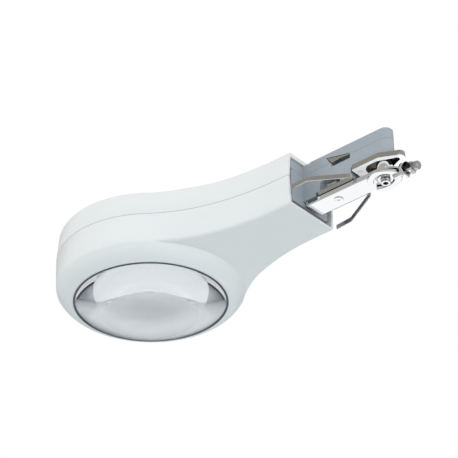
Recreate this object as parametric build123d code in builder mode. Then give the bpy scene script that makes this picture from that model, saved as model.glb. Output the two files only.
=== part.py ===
from build123d import *
from math import sqrt, sin, cos, tan, radians
import os

# Magnifying lamp head with the tilt-and-swivel bracket that fastens it to a lamp arm.
# Millimetres, +Z up.  The origin is the middle of the arm plug, the end of the stud
# that goes into the arm; +X runs from the lens along the neck towards the arm.

# ---------------------------------------------------------------- driving dimensions
TILT_REST = -8.0                 # the plug's slope from the neck's axis, in degrees
ROD_RISE = 9.0                   # the rod's rise above the neck's axis, in degrees
PIVOT_X, PIVOT_Z = 250.8, 3.95   # tilt axis, from the lens axis and the neck's underside
MID_Y = 0.4                      # the bracket's centre plane
PLUG_S = 6.6                     # plug centre, from the tilt axis

# position of the lens axis, at the level of the neck's flat underside
LX = -(PIVOT_X + PLUG_S * cos(radians(TILT_REST)))
LY = -MID_Y
LZ = -(PIVOT_Z + PLUG_S * sin(radians(TILT_REST)))

LENS_R = 59.5                    # lens radius, 120 mm with its gasket
LENS_EDGE = 6.0                  # lens thickness at its edge
RIM_Z = -10.0                    # level of the lens rim
BORE_R = 60.8                    # bore of the lower shell
LIP_R = 63.0                     # outer radius of the flat lip round the lens
PART_Z = 24.6                    # parting plane of the two shells
TOP_Z = 46.2                     # top of the upper shell
NECK_END = 161.5                 # open end of the neck
WALL, FLOOR, ROOF = 1.9, 2.2, 3.4
VIEW_R = 47.3                    # viewing opening in the upper shell
LONG = NECK_END + 3.0            # the neck is drawn longer, then cut off square

SWIVEL_X = 229.6                 # swivel axis
PLATE_Z = 5.2                    # underside of the steel channel
CH_HALF = 8.4                    # half width of the channel
BAR_Z0, BAR_Z1 = 8.9, 12.8       # steel bar on the channel
JAW_Z0, JAW_Z1 = 16.0, 20.3      # upper jaw
TONGUE_Y0, TONGUE_Y1 = -7.5, 4.5 # grey plastic tongue, near and far faces
CREASE_Z = 33.5                  # joint line of the two tongue halves
STRIP_T = 0.8                    # spring strip thickness

os.makedirs("parts", exist_ok=True)


# ---------------------------------------------------------------- work planes
def level(z):
    """Horizontal plane at height z: sketch x is X, sketch y is Y, from the lens axis."""
    return Plane(origin=(LX, LY, LZ + z))


def side(y):
    """Upright plane at y, facing -Y: sketch x is X, sketch y is Z."""
    return Plane(origin=(LX, LY + y, LZ), x_dir=(1, 0, 0), z_dir=(0, -1, 0))


def across(x):
    """Upright plane at x, facing +X: sketch x is Y, sketch y is Z."""
    return Plane(origin=(LX + x, LY, LZ), x_dir=(0, 1, 0), z_dir=(1, 0, 0))


def save(part, name):
    part.label = name
    export_step(part, f"parts/{name}.step")


LENS_AXIS = Axis((LX, LY, LZ), (0, 0, 1))


# ---------------------------------------------------------------- housing outline
def outline(radius, leave_x, neck):
    """Plan of the head and neck: a circle that runs into a narrowing neck."""
    y0 = sqrt(radius ** 2 - leave_x ** 2)
    near = [(leave_x, -y0)] + [(x, -w) for x, w in neck]
    far = [(leave_x, y0)] + [(x, w) for x, w in neck]
    Spline(*near, tangents=[(y0, leave_x), (1, 0)])
    Line(near[-1], far[-1])
    Spline(*far[::-1], tangents=[(-1, 0), (-y0, leave_x)])
    ThreePointArc(far[0], (-radius, 0), near[0])


def neck_at(extra, end_x, widths):
    """Neck half widths at fixed stations, moved in or out by extra."""
    xs = (70.5, 94.5, 120.0, end_x)
    slope = (1.16, 1.06, 1.02, 1.0)
    return [(x, w + extra * s) for x, w, s in zip(xs, widths, slope)]


W_FLOOR = (41.8, 32.7, 27.2, 25.5)
W_PART = (43.6, 34.6, 29.2, 26.8)
W_TOP = (42.2, 32.2, 27.2, 25.2)
R_FLOOR, R_PART, R_TOP = 74.4, 75.0, 73.0


def plan(z, radius, widths, extra=0.0, end_x=NECK_END):
    with BuildSketch(level(z)) as s:
        with BuildLine():
            outline(radius + extra, 46.0, neck_at(extra, end_x, widths))
        make_face()
    return s.sketch


# ---------------------------------------------------------------- lower shell
SCREWS = [(66.6 * cos(radians(a)), 66.6 * sin(radians(a))) for a in (62, 122, 180, 238, 298)]
SCREWS += [(112.0, 18.5), (112.0, -18.5)]
POSTS = [(x, y) for x in (86.0, 124.0) for y in (-11.5, 11.5)]

with BuildPart() as lower_shell:
    loft([plan(0, R_FLOOR, W_FLOOR, 0, LONG), plan(PART_Z, R_PART, W_PART, 0, LONG)], ruled=True)
    fillet(lower_shell.faces().sort_by(Axis.Z)[0].edges()
           .filter_by(lambda e: e.center().X < LX + LONG - 0.5), 2.6)
    # hollow inside, open to the neck's end
    inner = loft([plan(FLOOR, R_FLOOR, W_FLOOR, -WALL, LONG + 4),
                  plan(PART_Z + 0.5, R_PART, W_PART, -WALL, LONG + 4)],
                 ruled=True, mode=Mode.PRIVATE)
    add(inner, mode=Mode.SUBTRACT)
    # conical ring round the lens, with a flat lip
    with BuildSketch(side(0)):
        with BuildLine():
            l1 = Line((BORE_R, RIM_Z), (LIP_R - 0.8, RIM_Z))
            l2 = ThreePointArc(l1 @ 1, (LIP_R - 0.15, RIM_Z + 0.2), (LIP_R + 0.4, RIM_Z + 0.6))
            l3 = ThreePointArc(l2 @ 1, (69.9, -5.1), (73.4, -0.6))
            l4 = ThreePointArc(l3 @ 1, (74.1, 0.6), (74.3, 2.0))
            Polyline(l4 @ 1, (74.3, FLOOR), (BORE_R, FLOOR), l1 @ 0)
        make_face()
    revolve(axis=LENS_AXIS)
    # bore for the lens
    with BuildSketch(level(RIM_Z - 1)):
        Circle(BORE_R)
    extrude(amount=30 + 1, mode=Mode.SUBTRACT)
    # screw bosses and board posts
    with BuildSketch(level(FLOOR - 0.2)):
        with Locations(*SCREWS):
            Circle(3.9)
    extrude(amount=PART_Z - FLOOR + 0.2 - 0.1)
    with BuildSketch(level(FLOOR - 0.2)):
        with Locations(*POSTS):
            Circle(2.6)
    extrude(amount=14.0 - FLOOR + 0.2)
    with BuildSketch(level(8.0)):
        with Locations(*SCREWS):
            Circle(1.5)
    extrude(amount=30, mode=Mode.SUBTRACT)
    # inner rib that stops the bracket insert
    with BuildSketch(across(133.0)):
        with Locations((0, FLOOR - 0.1)):
            Rectangle(40, 6.0, align=(Align.CENTER, Align.MIN))
    extrude(amount=2.0)
    # the neck is cut off square
    with BuildSketch(across(NECK_END)):
        Rectangle(120, 160)
    extrude(amount=12, mode=Mode.SUBTRACT)
save(lower_shell.part, "lower_shell")

# ---------------------------------------------------------------- upper shell
with BuildPart() as upper_shell:
    loft([plan(PART_Z, R_PART, W_PART, 0, LONG), plan(TOP_Z, R_TOP, W_TOP, 0, LONG)], ruled=True)
    fillet(upper_shell.faces().sort_by(Axis.Z)[-1].edges()
           .filter_by(lambda e: e.center().X < LX + LONG - 0.5), 3.4)
    inner = loft([plan(PART_Z - 0.5, R_PART, W_PART, -WALL, LONG + 4),
                  plan(TOP_Z - ROOF, R_TOP + 0.6, W_TOP, -WALL - 0.2, LONG + 4)],
                 ruled=True, mode=Mode.PRIVATE)
    add(inner, mode=Mode.SUBTRACT)
    # bosses for the screws and pegs that press the light board down
    with BuildSketch(level(PART_Z + 0.1)):
        with Locations(*SCREWS):
            Circle(3.9)
    extrude(amount=TOP_Z - ROOF - PART_Z + 0.3)
    with BuildSketch(level(37.8)):
        with PolarLocations(53.4, 3, 97):
            Circle(2.0)
    extrude(amount=TOP_Z - ROOF - 37.8 + 0.3)
    # viewing opening
    with BuildSketch(level(PART_Z)):
        Circle(VIEW_R)
    extrude(amount=40, mode=Mode.SUBTRACT)
    # screw holes with countersinks in the top
    with BuildSketch(level(PART_Z - 1)):
        with Locations(*SCREWS):
            Circle(1.7)
    extrude(amount=40, mode=Mode.SUBTRACT)
    with BuildSketch(level(TOP_Z - 3.4)):
        with Locations(*SCREWS):
            Circle(3.0)
    extrude(amount=10, mode=Mode.SUBTRACT)
    with BuildSketch(across(NECK_END)):
        Rectangle(120, 160)
    extrude(amount=12, mode=Mode.SUBTRACT)
save(upper_shell.part, "upper_shell")

# ---------------------------------------------------------------- shell screws
with BuildPart() as shell_screws:
    for x, y in SCREWS:
        with BuildSketch(level(10.0)):
            with Locations((x, y)):
                Circle(1.5)
        extrude(amount=TOP_Z - 3.4 - 10.0)
        with BuildSketch(level(TOP_Z - 3.4)):
            with Locations((x, y)):
                Circle(2.8)
        extrude(amount=2.2)
        with BuildSketch(level(TOP_Z - 1.2)):
            with Locations((x, y)):
                Rectangle(3.4, 0.8)
                Rectangle(0.8, 3.4)
        extrude(amount=-1.2, mode=Mode.SUBTRACT)
save(shell_screws.part, "shell_screws")

# ---------------------------------------------------------------- lens, gasket, clamp ring
ZONE_R = 36.7                    # radius of the lens's central zone
CARRIER_R = 108.0                # radius of curvature of the lens's outer zone


def carrier(r):
    return RIM_Z - (sqrt(CARRIER_R ** 2 - r ** 2) - sqrt(CARRIER_R ** 2 - LENS_R ** 2))


with BuildPart() as lens:
    with BuildSketch(side(0)):
        with BuildLine():
            a1 = ThreePointArc((0, carrier(ZONE_R) - 2.6), (ZONE_R * 0.5, carrier(ZONE_R) - 1.95),
                               (ZONE_R, carrier(ZONE_R)))
            a2 = ThreePointArc(a1 @ 1, (48.5, carrier(48.5)), (LENS_R, RIM_Z))
            Polyline(a2 @ 1, (LENS_R, RIM_Z + LENS_EDGE), (0, RIM_Z + LENS_EDGE), a1 @ 0)
        make_face()
    revolve(axis=LENS_AXIS)
save(lens.part, "lens")

with BuildPart() as lens_gasket:
    with BuildSketch(side(0)):
        with BuildLine():
            Polyline((LENS_R + 0.1, RIM_Z + LENS_EDGE + 0.1), (BORE_R - 0.05, RIM_Z + LENS_EDGE + 0.1),
                     (BORE_R - 0.05, RIM_Z - 0.35), (LENS_R - 0.35, RIM_Z - 0.35),
                     (LENS_R - 0.35, RIM_Z - 0.05 - 0.2), (LENS_R + 0.1, RIM_Z - 0.05), close=True)
        make_face()
    revolve(axis=LENS_AXIS)
save(lens_gasket.part, "lens_gasket")

with BuildPart() as lens_clamp_ring:
    with BuildSketch(level(RIM_Z + LENS_EDGE + 0.15)):
        Circle(BORE_R - 0.05)
        Circle(57.4, mode=Mode.SUBTRACT)
        with PolarLocations(57.4, 4):
            Rectangle(2.6, 7, mode=Mode.SUBTRACT)
    extrude(amount=2.4)
save(lens_clamp_ring.part, "lens_clamp_ring")

# ---------------------------------------------------------------- light sleeve, diffuser, light board
with BuildPart() as light_sleeve:
    with BuildSketch(side(0)):
        with BuildLine():
            Polyline((58.0, -1.3), (60.6, -1.3), (60.6, 3.0), (60.2, 3.4), (60.2, 36.1),
                     (59.0, 36.1), (59.0, 30.3), (58.0, 29.3), close=True)
        make_face()
    revolve(axis=LENS_AXIS)
save(light_sleeve.part, "light_sleeve")

with BuildPart() as diffuser:
    with BuildSketch(level(30.4)):
        Circle(58.9)
        Circle(47.2, mode=Mode.SUBTRACT)
    extrude(amount=2.0)
    fillet(diffuser.edges().filter_by(GeomType.CIRCLE).group_by(Axis.Z)[0], 0.6)
save(diffuser.part, "diffuser")

with BuildPart() as led_board:
    with BuildSketch(level(36.2)):
        Circle(60.0)
        Circle(47.4, mode=Mode.SUBTRACT)
    extrude(amount=1.6)
save(led_board.part, "led_board")

LED_COUNT = 28
with BuildPart() as leds:
    with BuildSketch(level(36.15)):
        with PolarLocations(53.4, LED_COUNT):
            Rectangle(5.0, 5.0)
    extrude(amount=-0.9)
    with BuildSketch(level(35.25)):
        with PolarLocations(53.4, LED_COUNT):
            Circle(1.9)
    extrude(amount=-0.6, taper=20)
save(leds.part, "leds")

with BuildPart() as view_bezel:
    with BuildSketch(side(0)):
        with BuildLine():
            b1 = Polyline((45.4, 28.8), (48.4, 28.8), (48.4, 30.2), (47.0, 30.2), (47.0, TOP_Z + 0.05),
                          (50.6, TOP_Z + 0.05))
            b2 = ThreePointArc(b1 @ 1, (50.1, TOP_Z + 0.95), (48.8, TOP_Z + 1.3))
            b3 = Line(b2 @ 1, (46.6, TOP_Z + 1.3))
            b4 = ThreePointArc(b3 @ 1, (45.75, TOP_Z + 0.95), (45.4, TOP_Z + 0.1))
            Line(b4 @ 1, b1 @ 0)
        make_face()
    revolve(axis=LENS_AXIS)
save(view_bezel.part, "view_bezel")

# ---------------------------------------------------------------- driver board in the neck
with BuildPart() as driver_board:
    with BuildSketch(level(14.05)):
        with Locations((105, 0)):
            RectangleRounded(48, 28.4, 2)
        with Locations(*POSTS):
            Circle(1.2, mode=Mode.SUBTRACT)
    extrude(amount=1.6)
save(driver_board.part, "driver_board")

with BuildPart() as driver_components:
    top = 15.7
    with BuildSketch(level(top)):
        with Locations((97, 2)):
            RectangleRounded(13, 12, 1)
    extrude(amount=10)
    with BuildSketch(level(top)):
        with Locations((109, -6), (117, -6)):
            Circle(3.1)
    extrude(amount=11)
    with BuildSketch(level(top)):
        with Locations((112, 7)):
            Rectangle(6, 5)
        with Locations((91, -8), (100, -9)):
            Rectangle(4, 3)
    extrude(amount=2)
    with BuildSketch(level(top)):
        with Locations((122, 2)):
            Rectangle(6, 9)
    extrude(amount=6)
save(driver_components.part, "driver_components")

with BuildPart() as board_screws:
    for x, y in POSTS:
        with BuildSketch(level(15.7)):
            with Locations((x, y)):
                Circle(2.2)
        extrude(amount=1.4)
save(board_screws.part, "board_screws")

# ---------------------------------------------------------------- grey insert: plug and tongue, two halves
PLUG_X0, PLUG_X1 = 136.0, 160.2
PLUG_Y0, PLUG_Y1 = -21.6, 20.8
NOSE_X = 233.2                   # centre of the tongue's round nose
T_MID = (TONGUE_Y0 + TONGUE_Y1) / 2
T_HALF = (TONGUE_Y1 - TONGUE_Y0) / 2


def tongue_plan(z0, x0, x1):
    """A straight bar with a round nose at x1, in plan."""
    with BuildSketch(level(z0)) as s:
        with Locations(((x0 + x1) / 2, T_MID)):
            Rectangle(x1 - x0, 2 * T_HALF)
        with Locations((x1, T_MID)):
            Circle(T_HALF)
    return s.sketch


with BuildPart() as insert_lower:
    # plug, with rounded lower corners, hollowed from the neck's side
    with BuildSketch(across(PLUG_X0)):
        with BuildLine():
            Polyline((PLUG_Y0, CREASE_Z - 0.06), (PLUG_Y0, 6.2), (PLUG_Y1, 6.2), (PLUG_Y1, CREASE_Z - 0.06),
                     close=True)
        p = make_face()
        fillet(p.vertices().group_by(Axis.Z)[0], 3.0)
    extrude(amount=PLUG_X1 - PLUG_X0)
    with BuildSketch(across(PLUG_X0 - 1)):
        with Locations(((PLUG_Y0 + PLUG_Y1) / 2, (6.2 + CREASE_Z) / 2 + 0.5)):
            RectangleRounded(PLUG_Y1 - PLUG_Y0 - 5, CREASE_Z - 6.2 - 4.5, 2)
    extrude(amount=PLUG_X1 - PLUG_X0 - 2.4, mode=Mode.SUBTRACT)
    # tongue
    extrude(tongue_plan(10.6, PLUG_X1 - 3, NOSE_X), amount=CREASE_Z - 0.06 - 10.6)
    # underside steps up over the steel bar, and again over the upper jaw
    with BuildSketch(side(TONGUE_Y0 - 1)):
        with BuildLine():
            Polyline((171.8, 5.0), (250.0, 5.0), (250.0, JAW_Z1 + 0.4), (204.9, JAW_Z1 + 0.4),
                     (204.9, 13.1), (171.8, 13.1), close=True)
        make_face()
    extrude(amount=-20, mode=Mode.SUBTRACT)
    # notch that shows the adjusting screw
    with BuildSketch(side(TONGUE_Y0 - 1)):
        with BuildLine():
            n1 = Line((176.0, 12.0), (176.0, 18.6))
            n2 = ThreePointArc(n1 @ 1, (176.8, 20.7), (179.0, 21.2))
            Polyline(n2 @ 1, (187.0, 20.2), (194.6, 15.9), (195.4, 12.0), n1 @ 0)
        make_face()
    extrude(amount=-6.4, mode=Mode.SUBTRACT)
    # window, its lower part
    with BuildSketch(side(TONGUE_Y0 - 1)):
        with BuildLine():
            Polyline((186.2, 40.0), (187.4, 29.6), (204.8, 29.8), (204.8, 40.0), close=True)
        make_face()
    extrude(amount=-9.0, mode=Mode.SUBTRACT)
    # slot for the steel spine, open downwards
    with BuildSketch(side(0.9)):
        with BuildLine():
            Polyline((140.0, 9.0), (205.2, 9.0), (205.2, 18.0), (222.4, 18.0), (222.4, 26.4),
                     (140.0, 26.4), close=True)
        make_face()
    extrude(amount=2.8, mode=Mode.SUBTRACT)
    # pocket over the swivel post's riveted end
    with BuildSketch(level(JAW_Z1)):
        with Locations((SWIVEL_X, MID_Y)):
            Circle(4.7)
    extrude(amount=2.2, mode=Mode.SUBTRACT)
save(insert_lower.part, "insert_lower")

with BuildPart() as insert_upper:
    with BuildSketch(across(PLUG_X0)):
        with BuildLine():
            Polyline((PLUG_Y0, CREASE_Z + 0.06), (PLUG_Y0, 42.1), (PLUG_Y1, 42.1), (PLUG_Y1, CREASE_Z + 0.06),
                     close=True)
        p = make_face()
        fillet(p.vertices().group_by(Axis.Z)[-1], 2.5)
    extrude(amount=PLUG_X1 - PLUG_X0)
    with BuildSketch(across(PLUG_X0 - 1)):
        with Locations(((PLUG_Y0 + PLUG_Y1) / 2, (41.8 + CREASE_Z) / 2)):
            Rectangle(PLUG_Y1 - PLUG_Y0 - 5, 41.8 - CREASE_Z - 4.2)
    extrude(amount=PLUG_X1 - PLUG_X0 - 2.4, mode=Mode.SUBTRACT)
    # tongue: its top rises behind the neck's end
    extrude(tongue_plan(CREASE_Z + 0.06, PLUG_X1 - 3, NOSE_X), amount=42.1 - CREASE_Z - 0.06)
    extrude(tongue_plan(41.9, 168.0, NOSE_X), amount=43.1 - 41.9)
    fillet(insert_upper.faces().sort_by(Axis.Z)[-1].edges(), 0.8)
    # window, its upper part, with a slanting head
    with BuildSketch(side(TONGUE_Y0 - 1)):
        with BuildLine():
            Polyline((183.0, 39.4), (186.6, 33.0), (204.8, 33.0), (204.8, 34.4), close=True)
        make_face()
    extrude(amount=-9.0, mode=Mode.SUBTRACT)
save(insert_upper.part, "insert_upper")

with BuildPart() as window_tab:
    # slanting steel tab that closes the window's upper corner
    with BuildSketch(side(TONGUE_Y0 + 0.5)):
        with BuildLine():
            Polyline((183.7, 38.9), (187.3, 33.6), (196.0, 34.0), (204.5, 33.5), (204.5, 34.25), close=True)
        make_face()
    extrude(amount=-6.4)
save(window_tab.part, "window_tab")

with BuildPart() as insert_screws:
    # two screws hold the halves together inside the plug
    for y in (-16.5, 12.6):
        with BuildSketch(level(42.15)):
            with Locations((147.0, y)):
                Circle(1.9)
        extrude(amount=0.5)
save(insert_screws.part, "insert_screws")

# ---------------------------------------------------------------- steel bracket
with BuildPart() as spine_plate:
    with BuildSketch(side(0.7)):
        with BuildLine():
            Polyline((141.0, 13.0), (204.6, 13.0), (204.6, JAW_Z1 + 0.05), (222.0, JAW_Z1 + 0.05),
                     (222.0, 23.0), (214.0, 26.0), (141.0, 26.0), close=True)
        make_face()
        with Locations((150.0, 19.5), (166.0, 19.5)):
            Circle(2.2, mode=Mode.SUBTRACT)
    extrude(amount=2.4)
save(spine_plate.part, "spine_plate")

FAR_Y = MID_Y + CH_HALF
NEAR_Y = MID_Y - CH_HALF
with BuildPart() as channel_plate:
    # flat web with a rounded end and a lobe on the far side
    with BuildSketch(level(PLATE_Z)):
        with Locations(((162.0 + 235.8) / 2, MID_Y)):
            Rectangle(235.8 - 162.0, 2 * CH_HALF)
        with Locations((235.8, MID_Y)):
            Circle(CH_HALF)
        with Locations((227.6, MID_Y - 1.0)):
            Circle(13.0)
        with Locations((227.6, NEAR_Y - 10)):
            Rectangle(60, 20, mode=Mode.SUBTRACT)
    extrude(amount=1.4)
    # upturned edges
    with BuildSketch(level(PLATE_Z)):
        with Locations(((173.4 + 235.8) / 2, NEAR_Y + 0.6)):
            Rectangle(235.8 - 173.4, 1.2)
        with Locations(((173.4 + 209.0) / 2, FAR_Y - 0.6)):
            Rectangle(209.0 - 173.4, 1.2)
    extrude(amount=3.4)
    # upturned end that meets the insert
    with BuildSketch(level(PLATE_Z)):
        with Locations((162.7, MID_Y)):
            Rectangle(1.4, 14.0)
    extrude(amount=5.2)
    fillet(channel_plate.edges().filter_by(Axis.X).group_by(Axis.Z)[0].filter_by(
        lambda e: e.length > 50 and e.center().Y < LY + NEAR_Y + 0.3), 1.0)
    fillet(channel_plate.edges().filter_by(Axis.Y).group_by(Axis.Z)[0].sort_by(Axis.X)[0], 1.2)
    # hole for the swivel post
    with BuildSketch(level(PLATE_Z - 1)):
        with Locations((SWIVEL_X, MID_Y)):
            Circle(4.65)
    extrude(amount=4, mode=Mode.SUBTRACT)
    # rivet seat
    with BuildSketch(level(PLATE_Z - 1)):
        with Locations((186.8, MID_Y), (200.5, MID_Y)):
            Circle(2.0)
    extrude(amount=4, mode=Mode.SUBTRACT)
save(channel_plate.part, "channel_plate")

with BuildPart() as bracket_bar:
    # steel bar between the channel and the tongue: carries the springs' fixed legs
    with BuildSketch(level(PLATE_Z + 1.4)):
        with Locations(((174.0 + 206.0) / 2, MID_Y)):
            Rectangle(206.0 - 174.0, 2 * (CH_HALF - 1.5))
    extrude(amount=BAR_Z0 - PLATE_Z - 1.4)
    with BuildSketch(level(BAR_Z0)):
        with Locations(((174.0 + 204.2) / 2, MID_Y)):
            Rectangle(204.2 - 174.0, 2 * CH_HALF)
    extrude(amount=BAR_Z1 - BAR_Z0)
    with BuildSketch(level(PLATE_Z)):
        with Locations((186.8, MID_Y), (200.5, MID_Y)):
            Circle(2.0)
    extrude(amount=9, mode=Mode.SUBTRACT)
save(bracket_bar.part, "bracket_bar")

with BuildPart() as bracket_rivets:
    with BuildSketch(level(PLATE_Z)):
        with Locations((186.8, MID_Y), (200.5, MID_Y)):
            Circle(1.98)
    extrude(amount=BAR_Z1 - PLATE_Z)
    # low domed head with a small dimple
    with BuildSketch(side(MID_Y)):
        with BuildLine():
            Polyline((186.8, PLATE_Z + 0.3), (188.6, PLATE_Z + 0.3), (188.6, PLATE_Z), (190.3, PLATE_Z),
                     (190.2, PLATE_Z - 0.3), (189.6, PLATE_Z - 0.62), (188.0, PLATE_Z - 0.75),
                     (187.6, PLATE_Z - 0.35), (186.8, PLATE_Z - 0.3), close=True)
        make_face()
    revolve(axis=Axis((LX + 186.8, LY + MID_Y, LZ), (0, 0, 1)))
save(bracket_rivets.part, "bracket_rivets")

JAW_HALF = 10.8                  # half width of the jaw; its nose tapers


def jaw_plan(z, x0, half, knee, tip_x, tip_r):
    """Jaw outline: square behind, tapering from the knee to a round tip."""
    with BuildSketch(level(z)) as s:
        with BuildLine():
            Polyline((x0, MID_Y - half), (knee, MID_Y - half), (tip_x, MID_Y - tip_r))
            ThreePointArc((tip_x, MID_Y - tip_r), (tip_x + tip_r * 0.8, MID_Y), (tip_x, MID_Y + tip_r))
            Polyline((tip_x, MID_Y + tip_r), (knee, MID_Y + half), (x0, MID_Y + half), (x0, MID_Y - half))
        make_face()
    return s.sketch


with BuildPart() as upper_jaw:
    # cast jaw: a slab with a tapering nose and a deep oval recess below
    extrude(jaw_plan(JAW_Z0, 207.4, JAW_HALF, 231.6, 243.6, 4.6), amount=JAW_Z1 - JAW_Z0)
    fillet(upper_jaw.edges().filter_by(Axis.Z).sort_by(Axis.X)[0:2], 1.2)
    fillet(upper_jaw.edges().filter_by(Axis.Z).sort_by(Axis.X)[-4:], 2.4)
    with BuildSketch(level(JAW_Z0)):
        with Locations((222.2, MID_Y)):
            Circle(7.7)
        with BuildLine():
            Polyline((222.2, MID_Y - 7.7), (228.0, MID_Y - 7.7), (240.6, MID_Y - 2.4))
            ThreePointArc((240.6, MID_Y - 2.4), (243.0, MID_Y), (240.6, MID_Y + 2.4))
            Polyline((240.6, MID_Y + 2.4), (228.0, MID_Y + 7.7), (222.2, MID_Y + 7.7), (222.2, MID_Y - 7.7))
        make_face()
    extrude(amount=2.9, mode=Mode.SUBTRACT)
    with BuildSketch(level(JAW_Z0)):
        with Locations((SWIVEL_X, MID_Y)):
            Circle(3.55)
    extrude(amount=6, mode=Mode.SUBTRACT)
save(upper_jaw.part, "upper_jaw")

with BuildPart() as jaw_rivets:
    # two rivets through the jaw into the spine's foot
    with BuildSketch(level(JAW_Z0 - 0.5)):
        with Locations((211.0, MID_Y - 4.6), (211.0, MID_Y + 4.6)):
            Circle(1.7)
    extrude(amount=0.5)
save(jaw_rivets.part, "jaw_rivets")

# ---------------------------------------------------------------- adjusting screw in the notch
ADJ = Plane(origin=(LX + 185.6, LY - 4.6, LZ + 16.3), x_dir=(0, 1, 0),
            z_dir=(cos(radians(2)), 0, -sin(radians(2))))
with BuildPart() as adjusting_screw:
    with BuildSketch(ADJ.offset(-2.2)):
        Circle(1.6)
    extrude(amount=7.0)
    # thread ridges
    for i in range(4):
        with BuildSketch(ADJ.offset(0.3 + i * 1.1)):
            Circle(1.62)
        extrude(amount=0.45, taper=-30)
        with BuildSketch(ADJ.offset(0.75 + i * 1.1)):
            Circle(1.85)
        extrude(amount=0.4, taper=30)
    with BuildSketch(ADJ.offset(-3.4)):
        Circle(2.1)
    extrude(amount=1.4)
save(adjusting_screw.part, "adjusting_screw")


# ---------------------------------------------------------------- retaining springs
def strip(pts, z0):
    """Plan of a thin strip that stands on edge: pts is its centre line."""
    left, right = [], []
    n = len(pts)
    for i, (x, y) in enumerate(pts):
        if i == 0:
            dx, dy = pts[1][0] - x, pts[1][1] - y
        elif i == n - 1:
            dx, dy = x - pts[-2][0], y - pts[-2][1]
        else:
            a = (x - pts[i - 1][0], y - pts[i - 1][1])
            b = (pts[i + 1][0] - x, pts[i + 1][1] - y)
            la, lb = sqrt(a[0] ** 2 + a[1] ** 2), sqrt(b[0] ** 2 + b[1] ** 2)
            dx, dy = a[0] / la + b[0] / lb, a[1] / la + b[1] / lb
        d = sqrt(dx * dx + dy * dy)
        nx, ny = -dy / d, dx / d
        if 0 < i < n - 1:
            k = 1 / max(0.5, abs((nx * -a[1] + ny * a[0]) / la))
        else:
            k = 1
        left.append((x + nx * STRIP_T / 2 * k, y + ny * STRIP_T / 2 * k))
        right.append((x - nx * STRIP_T / 2 * k, y - ny * STRIP_T / 2 * k))
    with BuildSketch(level(z0)) as s:
        with BuildLine():
            Polyline(*left, *right[::-1], close=True)
        make_face()
    return s.sketch


BEND_R = 2.1                     # centre-line radius of the hairpin bend
HINGE_X = 205.0
NEAR_HINGE_Y = NEAR_Y - STRIP_T / 2 - BEND_R - 0.02
FAR_HINGE_Y = FAR_Y + STRIP_T / 2 + BEND_R + 0.02


def hairpin(cy, sign, a0, a1, steps=14):
    """Points round the bend; angles are from +X, sign mirrors for the far side."""
    return [(HINGE_X + BEND_R * cos(radians(a0 + (a1 - a0) * i / steps)),
             cy + sign * BEND_R * sin(radians(a0 + (a1 - a0) * i / steps))) for i in range(steps + 1)]


NEAR_Z, FAR_Z, STRIP_H = 9.1, 5.3, 3.5
LEG_ANGLE = 31.6                 # slant of the free leg from the neck's axis
with BuildPart() as near_spring_base:
    extrude(strip([(175.0, NEAR_HINGE_Y + BEND_R)] + hairpin(NEAR_HINGE_Y, -1, -90, 58.4), NEAR_Z), amount=STRIP_H)
save(near_spring_base.part, "near_spring_base")

with BuildPart() as far_spring_base:
    extrude(strip([(175.0, FAR_HINGE_Y - BEND_R)] + hairpin(FAR_HINGE_Y, 1, -90, 58.4), FAR_Z), amount=STRIP_H)
save(far_spring_base.part, "far_spring_base")


def leg_points(cy, sign, bend, tip, gap=0.35):
    """Free leg: from the end of the hairpin to a bend, then to a short tip."""
    a = radians(58.4)
    start = (HINGE_X + BEND_R * cos(a), cy + sign * BEND_R * sin(a))
    ux, uy = bend[0] - start[0], bend[1] - start[1]
    d = sqrt(ux * ux + uy * uy)
    start = (start[0] + ux / d * gap, start[1] + uy / d * gap)
    b0 = (bend[0] - ux / d * 1.2, bend[1] - uy / d * 1.2)
    vx, vy = tip[0] - bend[0], tip[1] - bend[1]
    e = sqrt(vx * vx + vy * vy)
    b1 = (bend[0] + vx / e * 1.2, bend[1] + vy / e * 1.2)
    bm = ((b0[0] + b1[0]) / 4 + bend[0] / 2, (b0[1] + b1[1]) / 4 + bend[1] / 2)
    return [start, b0, bm, b1, tip]


with BuildPart() as near_spring_leg:
    extrude(strip(leg_points(NEAR_HINGE_Y, -1, (180.6, -28.9), (165.4, -28.6)), NEAR_Z), amount=STRIP_H)
save(near_spring_leg.part, "near_spring_leg")

with BuildPart() as far_spring_leg:
    extrude(strip(leg_points(FAR_HINGE_Y, 1, (175.2, 30.6), (160.4, 32.0)), FAR_Z), amount=STRIP_H)
save(far_spring_leg.part, "far_spring_leg")

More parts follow.
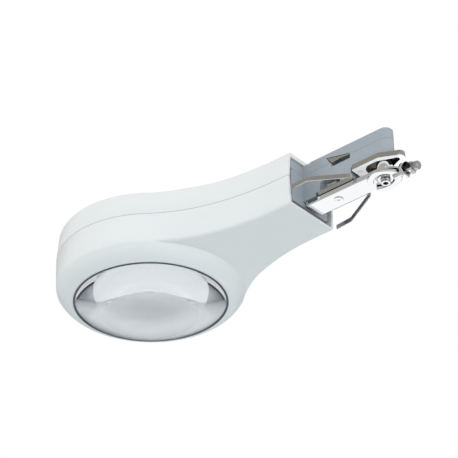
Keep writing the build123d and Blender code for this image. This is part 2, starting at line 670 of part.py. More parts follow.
# ---------------------------------------------------------------- swivel: post, washer, yoke with its rod
SWIVEL_AXIS = Axis((LX + SWIVEL_X, LY + MID_Y, LZ), (0, 0, 1))
HUB_Z0, HUB_Z1 = 3.3, 4.4
YOKE_Z0 = 2.2
with BuildPart() as swivel_post:
    # socket-head post: turns in the channel and in the jaw; its barrel fills the jaw's recess
    with BuildSketch(side(MID_Y)):
        with BuildLine():
            p0 = Polyline((SWIVEL_X, -0.15), (SWIVEL_X + 3.15, -0.15))
            p00 = ThreePointArc(p0 @ 1, (SWIVEL_X + 3.5, 0.0), (SWIVEL_X + 3.65, 0.35))
            p1 = Polyline(p00 @ 1, (SWIVEL_X + 3.65, HUB_Z0), (SWIVEL_X + 2.6, HUB_Z0), (SWIVEL_X + 2.6, 4.45),
                          (SWIVEL_X + 4.6, 4.45), (SWIVEL_X + 4.6, 7.0), (SWIVEL_X + 6.1, 7.0),
                          (SWIVEL_X + 6.1, 16.0))
            p2 = ThreePointArc(p1 @ 1, (SWIVEL_X + 5.5, 17.6), (SWIVEL_X + 3.9, 18.2))
            Polyline(p2 @ 1, (SWIVEL_X + 3.5, 18.2), (SWIVEL_X + 3.5, JAW_Z1 + 0.15),
                     (SWIVEL_X + 4.3, JAW_Z1 + 0.15), (SWIVEL_X + 4.3, JAW_Z1 + 1.2),
                     (SWIVEL_X, JAW_Z1 + 1.2), p0 @ 0)
        make_face()
    revolve(axis=SWIVEL_AXIS)
    with BuildSketch(level(-0.2)):
        with Locations((SWIVEL_X, MID_Y)):
            RegularPolygon(2.15, 6)
    extrude(amount=2.6, mode=Mode.SUBTRACT)
save(swivel_post.part, "swivel_post")

with BuildPart() as swivel_washer:
    with BuildSketch(level(4.45)):
        with Locations((SWIVEL_X, MID_Y)):
            Circle(7.4)
            Circle(4.64, mode=Mode.SUBTRACT)
    extrude(amount=0.6)
save(swivel_washer.part, "swivel_washer")

RR = radians(ROD_RISE)


def rod_at(s):
    """Plane square to the rod, s from the tilt axis towards the arm."""
    return Plane(origin=(LX + PIVOT_X + s * cos(RR), LY + MID_Y, LZ + PIVOT_Z + s * sin(RR)),
                 x_dir=(0, 1, 0), z_dir=(cos(RR), 0, sin(RR)))


TONGUE_R, TONGUE_HALF = 2.9, 1.3
with BuildPart() as swivel_yoke:
    # flat open ring round the post: two prongs that nearly meet
    with BuildSketch(level(YOKE_Z0)):
        with BuildLine():
            y1 = Spline((242.6, -1.7), (240.4, -6.2), (236.4, -10.2), (229.7, -13.2), (222.3, -10.4),
                        (217.9, -6.0), (217.2, -2.6))
            y2 = ThreePointArc(y1 @ 1, (218.9, -1.0), (221.2, -2.2))
            y3 = Spline(y2 @ 1, (222.9, -5.0), (227.2, -7.4), (233.0, -7.0), (236.2, -4.0), (237.2, 0.4),
                        (235.2, 4.1), (231.2, 6.4), (225.7, 7.2), (218.9, 5.4))
            y4 = ThreePointArc(y3 @ 1, (216.9, 6.6), (217.8, 8.8))
            y5 = Spline(y4 @ 1, (224.4, 11.9), (232.8, 11.2), (239.6, 7.2), (242.6, 2.5))
            Line(y5 @ 1, y1 @ 0)
        make_face()
    extrude(amount=HUB_Z1 - YOKE_Z0)
    fillet(swivel_yoke.faces().sort_by(Axis.Z)[0].edges(), 0.7)
    # hub under the channel, and the bridge that joins it to the ring
    with BuildSketch(level(HUB_Z0)):
        with Locations((SWIVEL_X, MID_Y)):
            Circle(5.6)
        with Locations(((SWIVEL_X + 241.0) / 2, MID_Y)):
            Rectangle(241.0 - SWIVEL_X, 6.4)
    extrude(amount=HUB_Z1 - HUB_Z0)
    with BuildSketch(level(HUB_Z0 - 1)):
        with Locations((SWIVEL_X, MID_Y)):
            Circle(2.65)
    extrude(amount=4, mode=Mode.SUBTRACT)
    # rod
    with BuildSketch(rod_at(-13.7)):
        Circle(2.1)
    extrude(amount=13.7 - 3.2)
    with BuildSketch(level(HUB_Z1)):
        with Locations((236.0, MID_Y)):
            Rectangle(20, 20)
    extrude(amount=3, mode=Mode.SUBTRACT)
    # flat eye at the rod's end
    with BuildSketch(side(MID_Y + TONGUE_HALF)):
        with Locations(Location((PIVOT_X, PIVOT_Z), ROD_RISE)):
            Circle(TONGUE_R)
            with Locations((-2.6, 0)):
                Rectangle(4.4, 3.2)
    extrude(amount=2 * TONGUE_HALF)
    with BuildSketch(side(-20)):
        with Locations((PIVOT_X, PIVOT_Z)):
            Circle(1.26)
    extrude(amount=-40, mode=Mode.SUBTRACT)
save(swivel_yoke.part, "swivel_yoke")

with BuildPart() as rod_nut:
    with BuildSketch(rod_at(-5.6)):
        RegularPolygon(6.3, 6)
        Circle(2.12, mode=Mode.SUBTRACT)
    extrude(amount=2.4)
    # turned corners
    with BuildSketch(rod_at(-5.6)):
        Circle(5.75)
    extrude(amount=2.4, taper=-12, mode=Mode.INTERSECT)
save(rod_nut.part, "rod_nut")

# ---------------------------------------------------------------- tilt knuckle and arm plug
TR = radians(TILT_REST)


def along(s):
    """Plane square to the plug, s from the tilt axis."""
    return Plane(origin=(LX + PIVOT_X + s * cos(TR), LY + MID_Y, LZ + PIVOT_Z + s * sin(TR)),
                 x_dir=(0, 1, 0), z_dir=(cos(TR), 0, sin(TR)))


EAR_IN, EAR_OUT, EAR_R = 1.6, 3.3, 2.9
with BuildPart() as arm_clevis:
    # two ears, their bridge, and the plug that goes into the arm
    for y0 in (MID_Y - EAR_IN, MID_Y + EAR_OUT):
        with BuildSketch(side(y0)):
            with Locations(Location((PIVOT_X, PIVOT_Z), TILT_REST)):
                Circle(EAR_R)
                with Locations((2.1, 0)):
                    Rectangle(4.2, 5.2)
        extrude(amount=EAR_OUT - EAR_IN)
    with BuildSketch(along(3.25)):
        Circle(3.5)
    extrude(amount=1.1)
    with BuildSketch(along(4.3)):
        Circle(2.7)
    extrude(amount=0.8)
    with BuildSketch(along(5.1)):
        Circle(3.2)
    extrude(amount=3.0)
    with BuildSketch(along(8.1)):
        Circle(3.2)
    extrude(amount=0.9, taper=40)
    with BuildSketch(side(-20)):
        with Locations((PIVOT_X, PIVOT_Z)):
            Circle(1.26)
    extrude(amount=-40, mode=Mode.SUBTRACT)
save(arm_clevis.part, "arm_clevis")

with BuildPart() as pivot_screw:
    # socket-head screw: the tilt axis, and the friction adjuster
    with BuildSketch(side(MID_Y - EAR_OUT - 0.1)):
        with Locations((PIVOT_X, PIVOT_Z)):
            Circle(2.7)
    extrude(amount=2.0)
    fillet(pivot_screw.edges().filter_by(GeomType.CIRCLE).sort_by(Axis.Y)[0], 0.4)
    with BuildSketch(side(MID_Y - EAR_OUT - 0.1 - 2.0)):
        with Locations((PIVOT_X, PIVOT_Z)):
            RegularPolygon(1.45, 6)
    extrude(amount=-1.4, mode=Mode.SUBTRACT)
    with BuildSketch(side(MID_Y - EAR_OUT - 0.1)):
        with Locations((PIVOT_X, PIVOT_Z)):
            Circle(1.2)
    extrude(amount=-(2 * EAR_OUT + 0.2 + 2.9))
save(pivot_screw.part, "pivot_screw")

with BuildPart() as pivot_nut:
    with BuildSketch(side(MID_Y + EAR_OUT + 0.1)):
        with Locations((PIVOT_X, PIVOT_Z)):
            RegularPolygon(2.7, 6)
            Circle(1.26, mode=Mode.SUBTRACT)
    extrude(amount=-2.4)
save(pivot_nut.part, "pivot_nut")
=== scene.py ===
import bpy, bmesh, math
from mathutils import Vector, Matrix


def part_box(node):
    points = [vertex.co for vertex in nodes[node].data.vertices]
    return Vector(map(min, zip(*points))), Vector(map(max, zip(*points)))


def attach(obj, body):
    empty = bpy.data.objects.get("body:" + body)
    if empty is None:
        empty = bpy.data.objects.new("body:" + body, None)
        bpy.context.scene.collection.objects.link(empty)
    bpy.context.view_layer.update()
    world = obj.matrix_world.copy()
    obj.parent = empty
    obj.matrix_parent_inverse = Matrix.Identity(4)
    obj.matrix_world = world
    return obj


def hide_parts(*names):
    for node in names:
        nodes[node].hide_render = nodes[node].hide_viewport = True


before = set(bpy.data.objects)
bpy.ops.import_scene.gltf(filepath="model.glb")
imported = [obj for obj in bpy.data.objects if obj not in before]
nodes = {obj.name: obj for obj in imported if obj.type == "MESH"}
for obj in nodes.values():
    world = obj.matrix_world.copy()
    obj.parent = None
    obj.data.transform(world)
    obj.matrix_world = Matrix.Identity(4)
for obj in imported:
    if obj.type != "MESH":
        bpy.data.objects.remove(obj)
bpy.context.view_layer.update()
MM = 0.001

# The lens axis at the neck's flat underside, in the row frame: the lens gives its axis, the neck's floor its height.
_lo, _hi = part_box("lens")
AX, AY = (_lo[0] + _hi[0]) / 2, (_lo[1] + _hi[1]) / 2
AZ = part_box("lower_shell")[1][2] - 24.6 * MM
O = Vector((AX, AY, AZ))


def H(x, y, z):
    """A point given in millimetres from the lens axis, in the row frame."""
    return Vector((AX + x * MM, AY + y * MM, AZ + z * MM))


# ------------------------------------------------------------------ camera
S = 0.06
A, E, RHO = math.radians(40.1227), math.radians(-32.6908), math.radians(-0.9014)
FPX, D, TX, TY = 2000.0, 26.1609 * S, -1.0207 * S, -0.8240 * S
back = Vector((math.sin(A) * math.cos(E), -math.cos(A) * math.cos(E), math.sin(E)))
fwd = -back
rr = fwd.cross(Vector((0, 0, 1))).normalized()
uu = rr.cross(fwd)
r2 = rr * math.cos(RHO) + uu * math.sin(RHO)
u2 = -rr * math.sin(RHO) + uu * math.cos(RHO)
C = O - (r2 * TX + u2 * TY + fwd * D)
cam = bpy.data.cameras.new("camera")
camo = bpy.data.objects.new("camera", cam)
bpy.context.scene.collection.objects.link(camo)
cam.sensor_width = 36.0
cam.lens = 36.0 * FPX / 458.0
cam.clip_start, cam.clip_end = 0.05, 60.0
camo.matrix_world = Matrix(((r2.x, u2.x, -fwd.x, C.x), (r2.y, u2.y, -fwd.y, C.y), (r2.z, u2.z, -fwd.z, C.z), (0, 0, 0, 1)))
bpy.context.scene.camera = camo
bpy.context.scene.view_settings.view_transform = "Standard"


# ------------------------------------------------------------------ node helpers
class Tree:
    """A material's node tree, with short names for what is used here."""

    def __init__(self, name):
        self.m = bpy.data.materials.new(name)
        self.m.use_nodes = True
        self.t = self.m.node_tree
        self.b = self.t.nodes["Principled BSDF"]
        self.co = self.new("ShaderNodeTexCoord").outputs["Object"]

    def new(self, kind):
        return self.t.nodes.new(kind)

    def link(self, a, b):
        self.t.links.new(a, b)

    def put(self, **kw):
        for k, v in kw.items():
            s = self.b.inputs[k.replace("_", " ")]
            s.default_value = (*v, 1.0) if isinstance(v, tuple) and len(v) == 3 else v
        return self

    def stretch(self, sx, sy, sz):
        n = self.new("ShaderNodeMapping")
        n.inputs["Scale"].default_value = (sx, sy, sz)
        self.link(self.co, n.inputs["Vector"])
        return n.outputs["Vector"]

    def noise(self, scale, detail=3.0, rough=0.55, vec=None):
        n = self.new("ShaderNodeTexNoise")
        n.inputs["Scale"].default_value = scale
        n.inputs["Detail"].default_value = detail
        n.inputs["Roughness"].default_value = rough
        self.link(vec or self.co, n.inputs["Vector"])
        return n.outputs["Fac"]

    def ramp(self, fac, lo, hi, a=0.3, b=0.7):
        n = self.new("ShaderNodeMapRange")
        n.inputs["From Min"].default_value, n.inputs["From Max"].default_value = a, b
        n.inputs["To Min"].default_value, n.inputs["To Max"].default_value = lo, hi
        self.link(fac, n.inputs["Value"])
        return n.outputs["Result"]

    def mix(self, fac, c1, c2):
        n = self.new("ShaderNodeMix")
        n.data_type = "RGBA"
        if isinstance(fac, float):
            n.inputs[0].default_value = fac
        else:
            self.link(fac, n.inputs[0])
        for s, c in ((n.inputs[6], c1), (n.inputs[7], c2)):
            if isinstance(c, tuple):
                s.default_value = (*c, 1.0)
            else:
                self.link(c, s)
        return n.outputs[2]

    def bump(self, height, strength, distance):
        n = self.new("ShaderNodeBump")
        n.inputs["Strength"].default_value = strength
        n.inputs["Distance"].default_value = distance
        self.link(height, n.inputs["Height"])
        self.link(n.outputs["Normal"], self.b.inputs["Normal"])
        return n

    def colour(self, out):
        self.link(out, self.b.inputs["Base Color"])

    def rough(self, out):
        self.link(out, self.b.inputs["Roughness"])


def moulded(name, c, var=0.03, rough=0.42, grain=2600.0, depth=0.00001, cool=None, dirt=0.0):
    """Moulded plastic: fine grain, a faint cloudiness and small changes of gloss."""
    t = Tree(name)
    c2 = cool or tuple(min(1.0, x * (1 - var)) for x in c)
    cloud = t.noise(26.0, 4.0)
    fine = t.noise(420.0, 2.0)
    col = t.mix(t.ramp(cloud, 0.0, 1.0), c, c2)
    col = t.mix(t.ramp(fine, 0.0, 0.35, 0.4, 0.75), col, tuple(x * 0.975 for x in c))
    t.colour(col)
    t.rough(t.ramp(t.noise(90.0, 4.0), rough - 0.05, rough + 0.07))
    t.bump(t.noise(grain, 2.0), 0.25, depth)
    t.put(Specular_IOR_Level=0.45)
    return t.m


def steel(name, c, rough, stretch=(1, 1, 1), line=900.0, spread=0.06, depth=0.000004, tint=None, strength=0.2, blotch=0.06, crevice_shade=0.0):
    """Metal with rolling or polishing lines along one direction, faint blotches and handling marks, and painted shade
    in its crevices where a crevice distance is given.
    """
    t = Tree(name)
    v = t.stretch(*stretch)
    lines = t.noise(line, 5.0, 0.6, v)
    cloud = t.noise(70.0, 5.0, 0.6)
    c2 = tint or tuple(x * (1 - blotch) for x in c)
    col = t.mix(t.ramp(cloud, 0.0, 1.0), c, c2)
    col = t.mix(t.ramp(lines, 0.0, 0.5), col, tuple(x * (1 - 2 * blotch) for x in c))
    # Painted shade: where ambient occlusion finds crevices and contacts, the colour darkens towards near black.
    if crevice_shade:
        shade_ao = t.new("ShaderNodeAmbientOcclusion")
        shade_ao.samples = 8
        shade_ao.inputs["Distance"].default_value = crevice_shade * MM
        col = t.mix(t.ramp(shade_ao.outputs["AO"], 0.0, 1.0, 0.30, 0.80), tuple(x * 0.13 for x in c), col)
    t.colour(col)
    t.rough(t.ramp(lines, max(0.02, rough - spread), rough + spread))
    t.bump(lines, strength, depth)
    t.put(Metallic=1.0)
    return t.m


M = {}
t = Tree("housing_white")
sep = t.new("ShaderNodeSeparateXYZ")
t.link(t.co, sep.inputs[0])
off = t.new("ShaderNodeMath")
off.operation = "SUBTRACT"
t.link(sep.outputs["Z"], off.inputs[0])
off.inputs[1].default_value = AZ + 24.6 * MM
near = t.new("ShaderNodeMath")
near.operation = "ABSOLUTE"
t.link(off.outputs[0], near.inputs[0])
# Painted shade: a thin dark line along the parting seam of the shells, standing in for the shade of a groove that is
# not modelled.
seam_shade = t.ramp(near.outputs[0], 1.0, 0.0, 0.00018, 0.00042)
body = t.mix(t.ramp(t.noise(26.0, 4.0), 0.0, 1.0), (0.865, 0.868, 0.860), (0.848, 0.852, 0.846))
body = t.mix(t.ramp(t.noise(420.0), 0.0, 0.35, 0.4, 0.75), body, (0.838, 0.843, 0.838))
t.colour(t.mix(t.ramp(seam_shade, 0.0, 0.72, 0.0, 1.0), body, (0.40, 0.41, 0.42)))
t.rough(t.ramp(t.noise(90.0, 4.0), 0.35, 0.47))
t.bump(t.noise(2400.0), 0.25, 0.000008)
t.put(Specular_IOR_Level=0.45)
M["white"] = t.m
M["insert"] = moulded("insert_grey", (0.40, 0.435, 0.475), 0.06, 0.42, 2000.0, 0.000012, cool=(0.375, 0.41, 0.45))
M["bezel"] = moulded("bezel_white", (0.84, 0.845, 0.84), 0.02, 0.34, 2400.0, 0.000006)
t = Tree("sleeve_white")
sep = t.new("ShaderNodeSeparateXYZ")
t.link(t.co, sep.inputs[0])
# Painted light: the sleeve is painted dark near its bottom and near white towards the top, standing in for the light
# falling in from the viewing well above.
sleeve_light_by_height = t.ramp(sep.outputs["Z"], 0.0, 1.0, AZ + 3 * MM, AZ + 30 * MM)
t.colour(t.mix(t.ramp(t.noise(300.0), 0.0, 0.3), t.mix(sleeve_light_by_height, (0.22, 0.235, 0.255), (0.97, 0.972, 0.975)), t.mix(sleeve_light_by_height, (0.20, 0.215, 0.235), (0.94, 0.942, 0.945))))
t.rough(t.ramp(t.noise(120.0, 4.0), 0.42, 0.55))
t.bump(t.noise(1500.0, 2.0), 0.25, 0.000006)
M["sleeve"] = t.m
t = Tree("gasket_dark")
sep = t.new("ShaderNodeSeparateXYZ")
t.link(t.co, sep.inputs[0])
# Painted light: above its lowest 0.7 to 1.2 mm the gasket is painted light grey, brightening what shows of it through
# the lens; the visible lip keeps the dark rubber colour.
lit_above_lip = t.ramp(sep.outputs["Z"], 0.0, 1.0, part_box("lens_gasket")[0][2] + 0.0007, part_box("lens_gasket")[0][2] + 0.0012)
t.colour(t.mix(lit_above_lip, t.mix(t.ramp(t.noise(900.0), 0.0, 1.0), (0.055, 0.063, 0.080), (0.080, 0.090, 0.110)), (0.62, 0.64, 0.68)))
t.rough(t.ramp(t.noise(700.0, 4.0), 0.45, 0.7))
t.bump(t.noise(1800.0, 2.0), 0.3, 0.00002)
M["gasket"] = t.m
M["ring"] = moulded("ring_black", (0.035, 0.042, 0.058), 0.15, 0.4, 1800.0, 0.00001)
M["board_white"] = moulded("board_white", (0.82, 0.83, 0.82), 0.03, 0.3, 1500.0, 0.000008)
M["board_green"] = moulded("board_green", (0.03, 0.16, 0.07), 0.2, 0.3, 900.0, 0.00001)
M["component"] = moulded("component_black", (0.03, 0.03, 0.033), 0.2, 0.45, 1400.0, 0.00001)
# Polished steel, with painted shade darkening its crevices.
M["chrome"] = steel("steel_polished", (0.93, 0.93, 0.935), 0.055, (1, 6, 6), 500.0, 0.025, 0.0000015, strength=0.12, blotch=0.02, crevice_shade=1.6)
# Painted light on the nickel jaw: the down-facing faces are painted near white, made less metallic and given a faint
# glow, and the sides are painted a darker beige-grey.
t = Tree("jaw_nickel")
geo = t.new("ShaderNodeNewGeometry")
sep = t.new("ShaderNodeSeparateXYZ")
t.link(geo.outputs["Normal"], sep.inputs[0])
down_lit = t.ramp(sep.outputs["Z"], 1.0, 0.0, -0.95, -0.80)
lines = t.noise(700.0, 5.0, 0.6, t.stretch(1, 4, 9))
side_shaded_c = t.mix(t.ramp(lines, 0.0, 1.0), (0.62, 0.60, 0.56), (0.52, 0.505, 0.475))
underside_lit_c = t.mix(t.ramp(lines, 0.0, 1.0), (0.97, 0.97, 0.97), (0.92, 0.92, 0.92))
shade_ao = t.new("ShaderNodeAmbientOcclusion")
shade_ao.samples = 8
shade_ao.inputs["Distance"].default_value = 0.0030
pos = t.new("ShaderNodeSeparateXYZ")
t.link(t.co, pos.inputs[0])
# Painted shade: down-facing faces more than about 2 mm above the jaw's bottom, inside its recess, are painted near
# black.
recess_shade = t.ramp(pos.outputs["Z"], 0.0, 1.0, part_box("upper_jaw")[0][2] + 0.0008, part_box("upper_jaw")[0][2] + 0.0020)
underside_lit_c = t.mix(recess_shade, underside_lit_c, (0.075, 0.068, 0.060))
col = t.mix(down_lit, side_shaded_c, underside_lit_c)
# Painted shade: ambient occlusion darkens the colour in crevices.
t.colour(t.mix(t.ramp(shade_ao.outputs["AO"], 0.0, 1.0, 0.25, 0.70), (0.07, 0.06, 0.05), col))
t.link(t.ramp(t.mix(recess_shade, down_lit, (0.0, 0.0, 0.0)), 1.0, 0.25, 0.0, 1.0), t.b.inputs["Metallic"])
t.rough(t.ramp(lines, 0.16, 0.30))
t.bump(lines, 0.2, 0.000004)
# Painted glow: the lit underside gets a faint emission wherever nothing occludes it.
t.put(Emission_Color=(1.0, 0.99, 0.98))
t.link(t.ramp(t.mix(t.ramp(shade_ao.outputs["AO"], 0.0, 1.0, 0.25, 0.70), (0.0, 0.0, 0.0), t.mix(recess_shade, down_lit, (0.0, 0.0, 0.0))), 0.0, 0.42, 0.0, 1.0), t.b.inputs["Emission Strength"])
M["jaw"] = t.m
# The post's steel paints deeper crevice shade, darkening its hex socket.
M["post"] = steel("steel_polished_post", (0.90, 0.90, 0.905), 0.07, (1, 6, 6), 500.0, 0.025, 0.0000015, strength=0.12, blotch=0.02, crevice_shade=4.5)
M["brushed"] = steel("steel_brushed", (0.60, 0.60, 0.60), 0.30, (1, 12, 12), 900.0, 0.08, 0.000006)
M["zinc"] = steel("steel_zinc", (0.70, 0.69, 0.66), 0.33, (1, 1, 1), 1400.0, 0.09, 0.00001, tint=(0.60, 0.585, 0.55))
M["spring"] = steel("spring_steel", (0.62, 0.605, 0.575), 0.27, (1, 1, 10), 800.0, 0.07, 0.000005, tint=(0.54, 0.525, 0.50))
M["slate"] = steel("spring_steel_blued", (0.33, 0.345, 0.37), 0.25, (1, 1, 10), 800.0, 0.07, 0.000005, tint=(0.27, 0.285, 0.31))
# Painted shade: the bracket bar is coloured near black so that it reads as the dark band of shade between bar and
# channel.
M["shade_bar"] = steel("bar_steel_painted_shade", (0.075, 0.07, 0.066), 0.38, (1, 8, 8), 900.0, 0.08, 0.000006)
M["black_oxide"] = steel("steel_black", (0.045, 0.045, 0.05), 0.32, (1, 1, 1), 1600.0, 0.08, 0.000006)

t = Tree("diffuser_opal")
t.colour(t.mix(t.ramp(t.noise(500.0, 3.0), 0.0, 1.0), (0.90, 0.91, 0.93), (0.85, 0.865, 0.885)))
t.rough(t.ramp(t.noise(900.0, 2.0), 0.30, 0.45))
t.bump(t.noise(2200.0, 2.0), 0.3, 0.00001)
t.put(Subsurface_Weight=0.3, Transmission_Weight=0.12)
M["opal"] = t.m
t = Tree("led_phosphor")
t.colour(t.mix(t.ramp(t.noise(1800.0, 3.0), 0.0, 1.0), (0.90, 0.80, 0.22), (0.84, 0.72, 0.15)))
t.rough(t.ramp(t.noise(2500.0, 2.0), 0.25, 0.4))
t.put(Subsurface_Weight=0.2)
M["led"] = t.m
t = Tree("lens_glass")
t.put(Base_Color=(0.985, 0.995, 1.0), Transmission_Weight=1.0, IOR=1.5, Roughness=0.0)
# The ground outer edge of the lens: a frosted white surface, with a painted glow (emission) added to brighten it.
ground = t.new("ShaderNodeBsdfPrincipled")
ground.inputs["Base Color"].default_value = (0.92, 0.93, 0.95, 1.0)
ground.inputs["Roughness"].default_value = 0.6
ground.inputs["Emission Color"].default_value = (0.94, 0.96, 1.0, 1.0)
ground.inputs["Emission Strength"].default_value = 0.42
sep = t.new("ShaderNodeSeparateXYZ")
t.link(t.co, sep.inputs[0])
flat = t.new("ShaderNodeCombineXYZ")
for i, c in ((0, AX), (1, AY)):
    m = t.new("ShaderNodeMath")
    m.operation = "SUBTRACT"
    t.link(sep.outputs[i], m.inputs[0])
    m.inputs[1].default_value = c
    t.link(m.outputs[0], flat.inputs[i])
rad = t.new("ShaderNodeVectorMath")
rad.operation = "LENGTH"
t.link(flat.outputs[0], rad.inputs[0])
half = (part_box("lens")[1][0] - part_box("lens")[0][0]) / 2
mixs = t.new("ShaderNodeMixShader")
t.link(t.ramp(rad.outputs["Value"], 0.0, 1.0, half - 0.00012, half - 0.00008), mixs.inputs[0])
t.link(t.b.outputs[0], mixs.inputs[1])
t.link(ground.outputs[0], mixs.inputs[2])
t.link(mixs.outputs[0], t.t.nodes["Material Output"].inputs["Surface"])
M["glass"] = t.m

USE = {
    "upper_shell": "white", "lower_shell": "white", "lens": "glass", "lens_gasket": "gasket", "lens_clamp_ring": "ring",
    "light_sleeve": "sleeve", "diffuser": "opal", "led_board": "board_white", "leds": "led", "view_bezel": "bezel",
    "driver_board": "board_green", "driver_components": "component", "board_screws": "zinc", "shell_screws": "zinc",
    "insert_lower": "insert", "insert_upper": "insert", "insert_screws": "zinc", "window_tab": "spring", "spine_plate": "brushed",
    "channel_plate": "chrome", "bracket_bar": "shade_bar", "bracket_rivets": "chrome", "upper_jaw": "jaw", "jaw_rivets": "jaw",
    "adjusting_screw": "zinc", "near_spring_base": "spring", "far_spring_base": "slate", "near_spring_leg": "spring",
    "far_spring_leg": "slate", "swivel_yoke": "chrome", "swivel_post": "post", "swivel_washer": "brushed", "rod_nut": "chrome",
    "arm_clevis": "brushed", "pivot_screw": "black_oxide", "pivot_nut": "zinc",
}
for n, k in USE.items():
    if n in nodes:
        o = nodes[n]
        for i in range(max(1, len(o.material_slots))):
            if not o.material_slots:
                o.data.materials.append(M[k])
            else:
                o.material_slots[i].material = M[k]


# ------------------------------------------------------------------ the lens, ground smooth and slightly convex above
def ground_lens(turns=224):
    """The lens as a finely turned profile: a shallow centre dome, a steep outer zone, a flat ground edge."""
    rad_in, rim, low, under, dome = 36.7, 59.5, -10.0, 108.0, 2.6

    def lower(q):
        return low - (math.sqrt(under ** 2 - q * q) - math.sqrt(under ** 2 - rim ** 2))

    def upper(q):
        return -4.0 + math.sqrt(1200.0 ** 2 - q * q) - math.sqrt(1200.0 ** 2 - rim ** 2)

    prof = [(rad_in * i / 32, lower(rad_in) - dome * (1 - (i / 32) ** 2)) for i in range(33)]
    prof += [(rad_in + (rim - rad_in) * i / 40, lower(rad_in + (rim - rad_in) * i / 40)) for i in range(1, 41)]
    prof += [(rim * i / 40, upper(rim * i / 40)) for i in range(40, -1, -1)]
    bm = bmesh.new()
    rings = []
    for q, z in prof:
        if q < 1e-9:
            rings.append([bm.verts.new(H(0, 0, z))])
        else:
            rings.append([bm.verts.new(H(q * math.cos(math.tau * i / turns), q * math.sin(math.tau * i / turns), z)) for i in range(turns)])
    for a, b in zip(rings, rings[1:]):
        for i in range(turns):
            j = (i + 1) % turns
            if len(a) == 1:
                bm.faces.new((a[0], b[i], b[j]))
            elif len(b) == 1:
                bm.faces.new((a[i], a[j], b[0]))
            else:
                bm.faces.new((a[i], a[j], b[j], b[i]))
    bmesh.ops.recalc_face_normals(bm, faces=bm.faces)
    me = bpy.data.meshes.new("lens_ground")
    bm.to_mesh(me)
    bm.free()
    for f in me.polygons:
        f.use_smooth = True
    me.set_sharp_from_angle(angle=math.radians(8))
    me.materials.append(M["glass"])
    o = bpy.data.objects.new("lens_ground", me)
    bpy.context.scene.collection.objects.link(o)
    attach(o, "head")
    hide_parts("lens")
    return o


ground_lens()


# ------------------------------------------------------------------ rounded edges on the CAD solids
def soften(node, width, segments=2, angle=32):
    """Small rounds along the sharp edges, as moulding and tumbling leave them."""
    o = nodes.get(node)
    if o is None:
        return
    w = o.modifiers.new("weld", "WELD")
    w.merge_threshold = 2e-6
    b = o.modifiers.new("round", "BEVEL")
    b.width, b.segments, b.limit_method, b.angle_limit = width * MM, segments, "ANGLE", math.radians(angle)
    b.harden_normals = True
    b.use_clamp_overlap = True


# ------------------------------------------------------------------ floor, world and lights
def plane(name, centre, size):
    me = bpy.data.meshes.new(name)
    bm = bmesh.new()
    bmesh.ops.create_grid(bm, x_segments=8, y_segments=8, size=size / 2)
    bm.to_mesh(me)
    bm.free()
    o = bpy.data.objects.new(name, me)
    o.location = centre
    bpy.context.scene.collection.objects.link(o)
    return o


floor = plane("floor", (AX, AY, -2.25), 16.0)
floor.data.materials.append(moulded("floor_pale", (0.69, 0.77, 0.80), 0.02, 0.7, 300.0, 0.0001))
floor.visible_transmission = False
floor.visible_glossy = False

world = bpy.data.worlds.new("studio")
bpy.context.scene.world = world
world.use_nodes = True
wt = world.node_tree
bg = wt.nodes["Background"]
tc = wt.nodes.new("ShaderNodeTexCoord")


def wnode(kind, **kw):
    n = wt.nodes.new(kind)
    for k, v in kw.items():
        setattr(n, k, v)
    return n


def towards(direction, lo, hi):
    """0 to 1 as the direction of sight turns towards one side of the studio."""
    d = Vector(direction).normalized()
    n = wnode("ShaderNodeVectorMath", operation="DOT_PRODUCT")
    n.inputs[1].default_value = d
    wt.links.new(tc.outputs["Generated"], n.inputs[0])
    r = wnode("ShaderNodeMapRange", interpolation_type="SMOOTHSTEP")
    r.inputs["From Min"].default_value, r.inputs["From Max"].default_value = lo, hi
    wt.links.new(n.outputs["Value"], r.inputs["Value"])
    return r.outputs["Result"]


def wmix(fac, a, b):
    n = wnode("ShaderNodeMix", data_type="RGBA")
    wt.links.new(fac, n.inputs[0])
    for s, c in ((n.inputs[6], a), (n.inputs[7], b)):
        if isinstance(c, tuple):
            s.default_value = (*c, 1.0)
        else:
            wt.links.new(c, s)
    return n.outputs[2]


plain = wmix(towards((0, 0, 1), -0.5, 0.6), (0.375, 0.485, 0.52), (0.82, 0.815, 0.80))
plain = wmix(towards((0.85, -0.2, -0.5), 0.40, 1.0), plain, (1.35, 1.42, 1.50))
plain = wmix(towards((-0.75, -0.1, -0.6), 0.35, 1.0), plain, (0.30, 0.32, 0.34))
gloss = wmix(towards((0, 0, 1), -0.6, 0.6), (0.46, 0.47, 0.49), (0.40, 0.395, 0.385))
gloss = wmix(towards((0.54, 0.64, 0.54), 0.45, 0.85), gloss, (0.52, 0.535, 0.56))
gloss = wmix(towards((0.75, -0.45, -0.45), 0.55, 0.90), gloss, (0.80, 0.84, 0.88))
gloss = wmix(towards((-0.54, -0.64, 0.54), 0.72, 0.95), gloss, (0.43, 0.42, 0.395))
gloss = wmix(towards((-0.54, 0.64, -0.54), 0.70, 0.90), gloss, (1.02, 1.03, 1.04))
gloss = wmix(towards((-0.75, 0.35, 0.5), 0.78, 0.95), gloss, (0.05, 0.05, 0.055))
gloss = wmix(towards((0.1, 0.97, 0.1), 0.86, 0.96), gloss, (0.07, 0.07, 0.08))
gloss = wmix(towards((0.2, -0.4, -0.89), 0.88, 0.97), gloss, (0.10, 0.10, 0.11))
lp = wt.nodes.new("ShaderNodeLightPath")
through = wnode("ShaderNodeMath", operation="GREATER_THAN")
through.inputs[1].default_value = 0.5
wt.links.new(lp.outputs["Transmission Depth"], through.inputs[0])
glass_sky = wmix(towards((0, 0, 1), 0.0, 0.6), (0.78, 0.81, 0.84), (0.40, 0.43, 0.46))
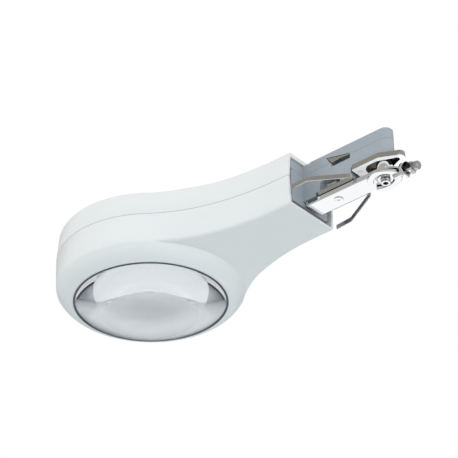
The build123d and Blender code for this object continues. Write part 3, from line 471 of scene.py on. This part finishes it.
glass_sky = wmix(towards((0.8, 0.5, -0.3), 0.55, 0.95), glass_sky, (0.52, 0.55, 0.59))
well_sky = wmix(towards((0, 0, 1), 0.0, 0.6), (0.79, 0.815, 0.84), (5.4, 5.5, 5.6))
seen = wmix(lp.outputs["Is Glossy Ray"], plain, gloss)
seen = wmix(through.outputs["Value"], seen, wmix(lp.outputs["Is Diffuse Ray"], glass_sky, well_sky))
seen = wmix(lp.outputs["Is Camera Ray"], seen, (1.0, 1.0, 1.0))
wt.links.new(seen, bg.inputs["Color"])
bg.inputs["Strength"].default_value = 1.0


def area(name, at, to, size, energy, colour=(1, 1, 1)):
    l = bpy.data.lights.new(name, "AREA")
    l.shape = "DISK"
    l.size, l.energy, l.color = size, energy, colour
    o = bpy.data.objects.new(name, l)
    bpy.context.scene.collection.objects.link(o)
    o.location = at
    o.visible_transmission = False
    o.visible_glossy = False
    o.rotation_euler = (Vector(to) - Vector(at)).to_track_quat("-Z", "Y").to_euler()
    return o


MID = (AX * 0.6, AY, 0.0)
area("key", (1.3, -1.5, -0.3), MID, 1.1, 7.0, (0.97, 0.985, 1.0))
area("mirror", (-1.5, 1.6, -1.5), MID, 1.7, 4.0, (1.0, 1.0, 1.0))
area("fill", (-1.6, -1.4, 0.4), MID, 1.2, 10.0, (1.0, 0.985, 0.965))

area("rim", (1.9, 0.1, -0.8), MID, 0.9, 4.0, (0.95, 0.98, 1.0))

for n, w in (("upper_shell", 0.25), ("lower_shell", 0.25), ("view_bezel", 0.2), ("insert_lower", 0.3), ("insert_upper", 0.3),
             ("channel_plate", 0.22), ("bracket_bar", 0.2), ("upper_jaw", 0.25), ("swivel_yoke", 0.28), ("swivel_post", 0.15),
             ("rod_nut", 0.25), ("arm_clevis", 0.2), ("pivot_screw", 0.15), ("pivot_nut", 0.15), ("spine_plate", 0.2),
             ("adjusting_screw", 0.08), ("window_tab", 0.05), ("bracket_rivets", 0.15), ("jaw_rivets", 0.1), ("shell_screws", 0.1),
             ("swivel_washer", 0.08)):
    soften(n, w)
